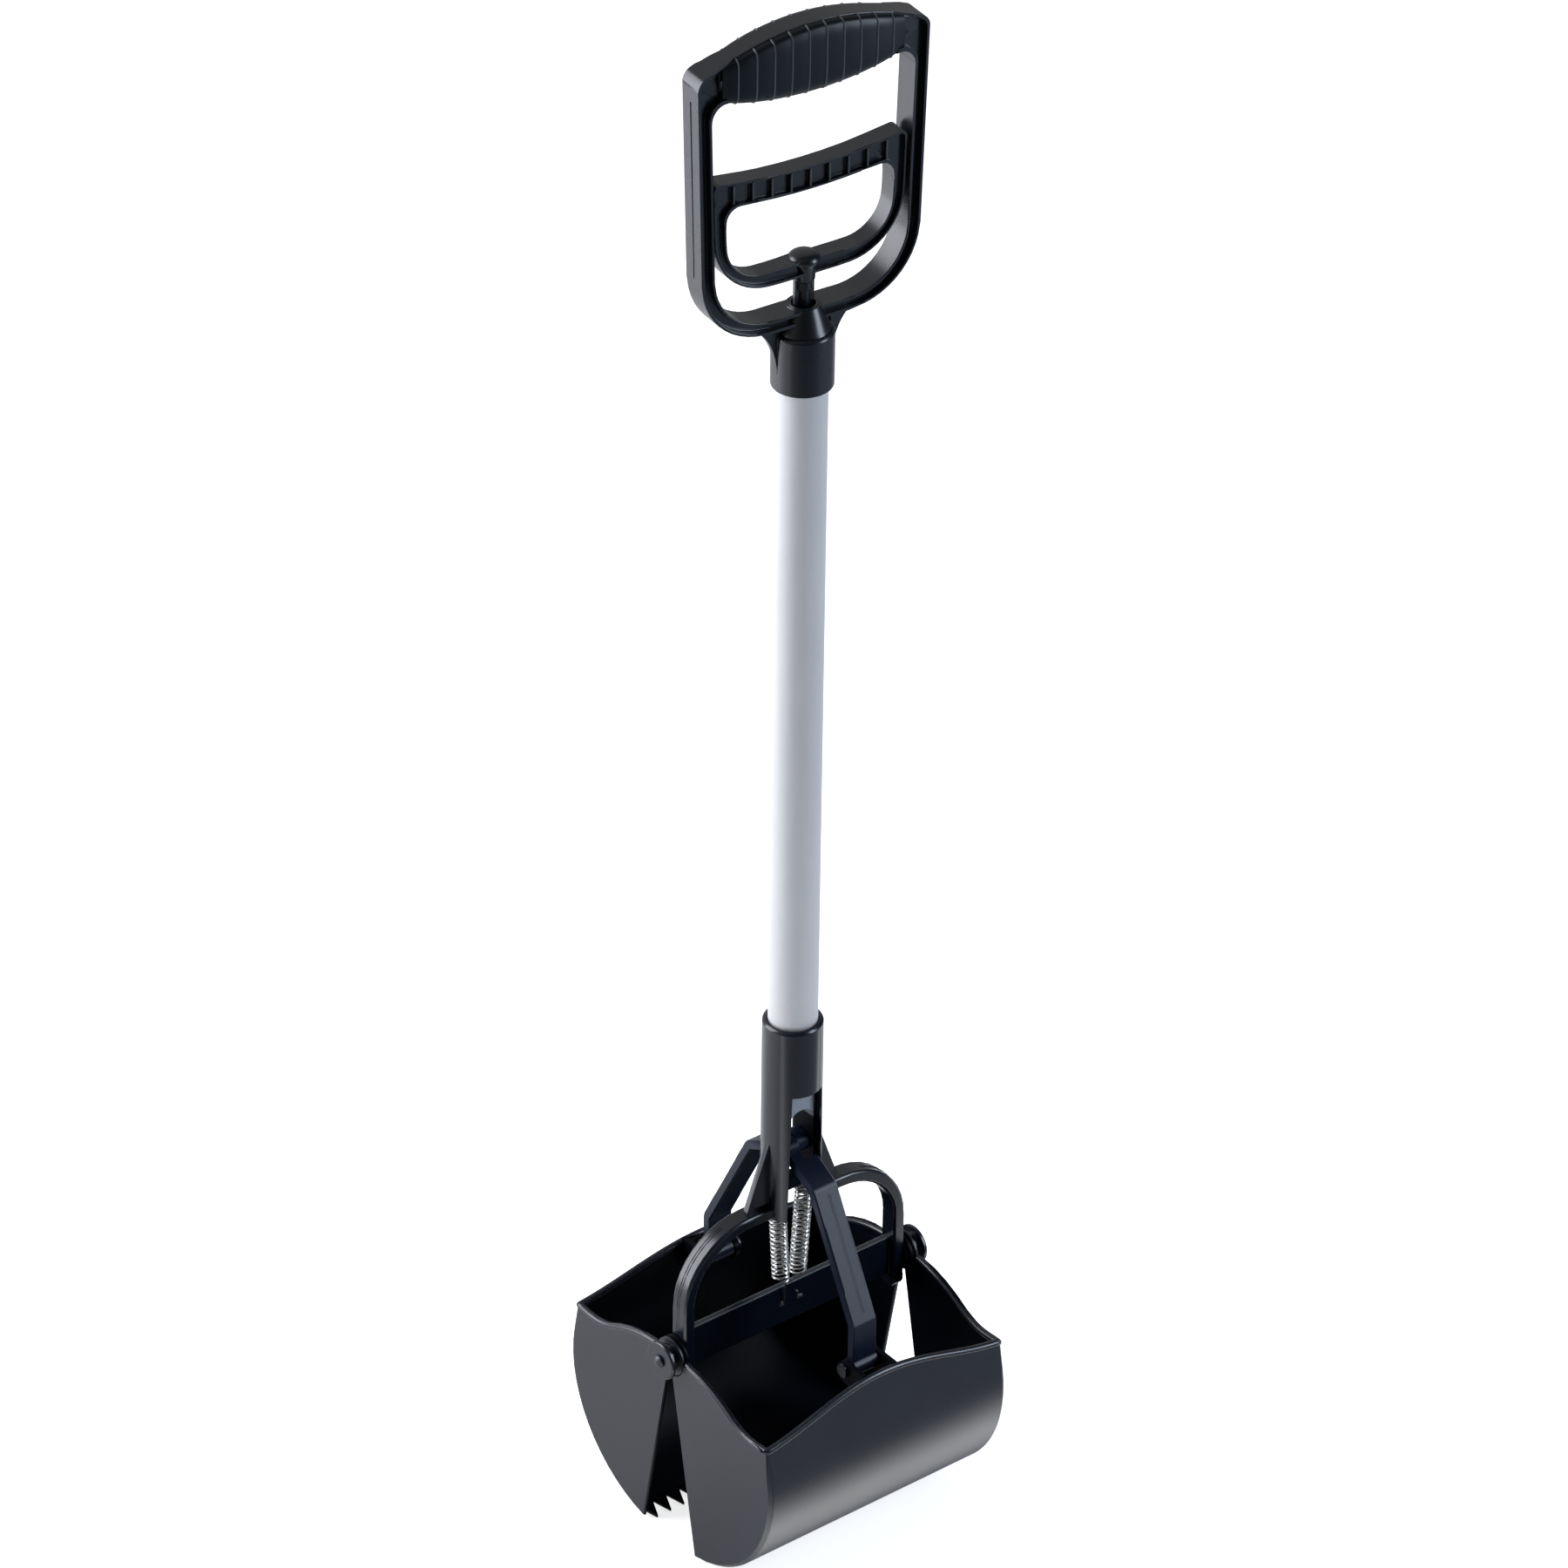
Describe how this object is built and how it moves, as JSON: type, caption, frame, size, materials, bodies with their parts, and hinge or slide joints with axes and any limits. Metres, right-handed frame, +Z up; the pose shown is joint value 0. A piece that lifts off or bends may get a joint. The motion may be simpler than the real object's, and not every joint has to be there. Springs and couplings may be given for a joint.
{
  "type": "pooper scooper",
  "caption": "Long-handled pooper scooper whose pull grip in a D handle opens two toothed scoop jaws through a rod, a crosshead and links, with springs that close them.",
  "frame": {"origin": "on the ground under the tube's axis, at the middle of the object's box", "axes": "+Z up along the tube, +X along the jaws' hinge axis, -Y towards the near jaw"},
  "size_m": [0.148, 0.1438, 0.7466],
  "materials": {
    "handle_plastic": "black moulded plastic, satin gloss, fine texture",
    "yoke_plastic": "black moulded plastic, satin gloss",
    "jaw_plastic": "black moulded plastic, satin gloss",
    "tube_metal": "satin anodised, drawn along its length",
    "steel": "plain bright steel",
    "spring_steel": "bright zinc-plated spring wire",
    "dark_steel": "blackened steel"
  },
  "bodies": {
    "frame": {"handle_frame": "handle_plastic", "tube": "tube_metal", "yoke_housing": "yoke_plastic", "pivot_bush_left": "yoke_plastic", "pivot_bush_right": "yoke_plastic", "hinge_rivet_left": "dark_steel", "hinge_rivet_right": "dark_steel", "upper_screw": "steel", "lower_screw": "steel", "front_spring": "spring_steel", "rear_spring": "spring_steel"},
    "puller": {"pull_grip": "handle_plastic", "pull_rod": "steel", "crosshead": "yoke_plastic", "rod_upper_pin": "steel", "rod_lower_pin": "steel", "link_pin": "steel", "spring_pin": "steel"},
    "near_jaw": {"near_jaw": "jaw_plastic", "near_link_pin": "jaw_plastic"},
    "far_jaw": {"far_jaw": "jaw_plastic", "far_link_pin": "jaw_plastic"},
    "front_link": {"front_link": "yoke_plastic"},
    "rear_link": {"rear_link": "yoke_plastic"}
  },
  "joints": [
    {"name": "pull_slide", "type": "slide", "parent": "frame", "child": "puller", "axis": [0, 0, 1], "range_m": [-0.0096, 0.022], "stiffness_N_per_m": 500, "springref_m": -0.012, "deforming": ["front_spring", "rear_spring"]},
    {"name": "near_jaw_hinge", "type": "hinge", "parent": "frame", "child": "near_jaw", "pos_m": [0, 0, 0.10192], "axis": [-1, 0, 0], "range_deg": [-10.5, 24]},
    {"name": "far_jaw_hinge", "type": "hinge", "parent": "frame", "child": "far_jaw", "pos_m": [0, 0, 0.10192], "axis": [1, 0, 0], "range_deg": [-10.5, 24]},
    {"name": "front_link_hinge", "type": "hinge", "parent": "near_jaw", "child": "front_link", "pos_m": [0, -0.0514, 0.09932], "axis": [1, 0, 0], "range_deg": [-10.9, 25]},
    {"name": "rear_link_hinge", "type": "hinge", "parent": "far_jaw", "child": "rear_link", "pos_m": [0, 0.0514, 0.09932], "axis": [-1, 0, 0], "range_deg": [-10.9, 25]}
  ],
  "couplings": [
    {"joint": "near_jaw_hinge", "follows": "pull_slide", "rad_per_m": 19},
    {"joint": "far_jaw_hinge", "follows": "pull_slide", "rad_per_m": 19},
    {"joint": "front_link_hinge", "follows": "pull_slide", "rad_per_m": 19.8},
    {"joint": "rear_link_hinge", "follows": "pull_slide", "rad_per_m": 19.8}
  ]
}
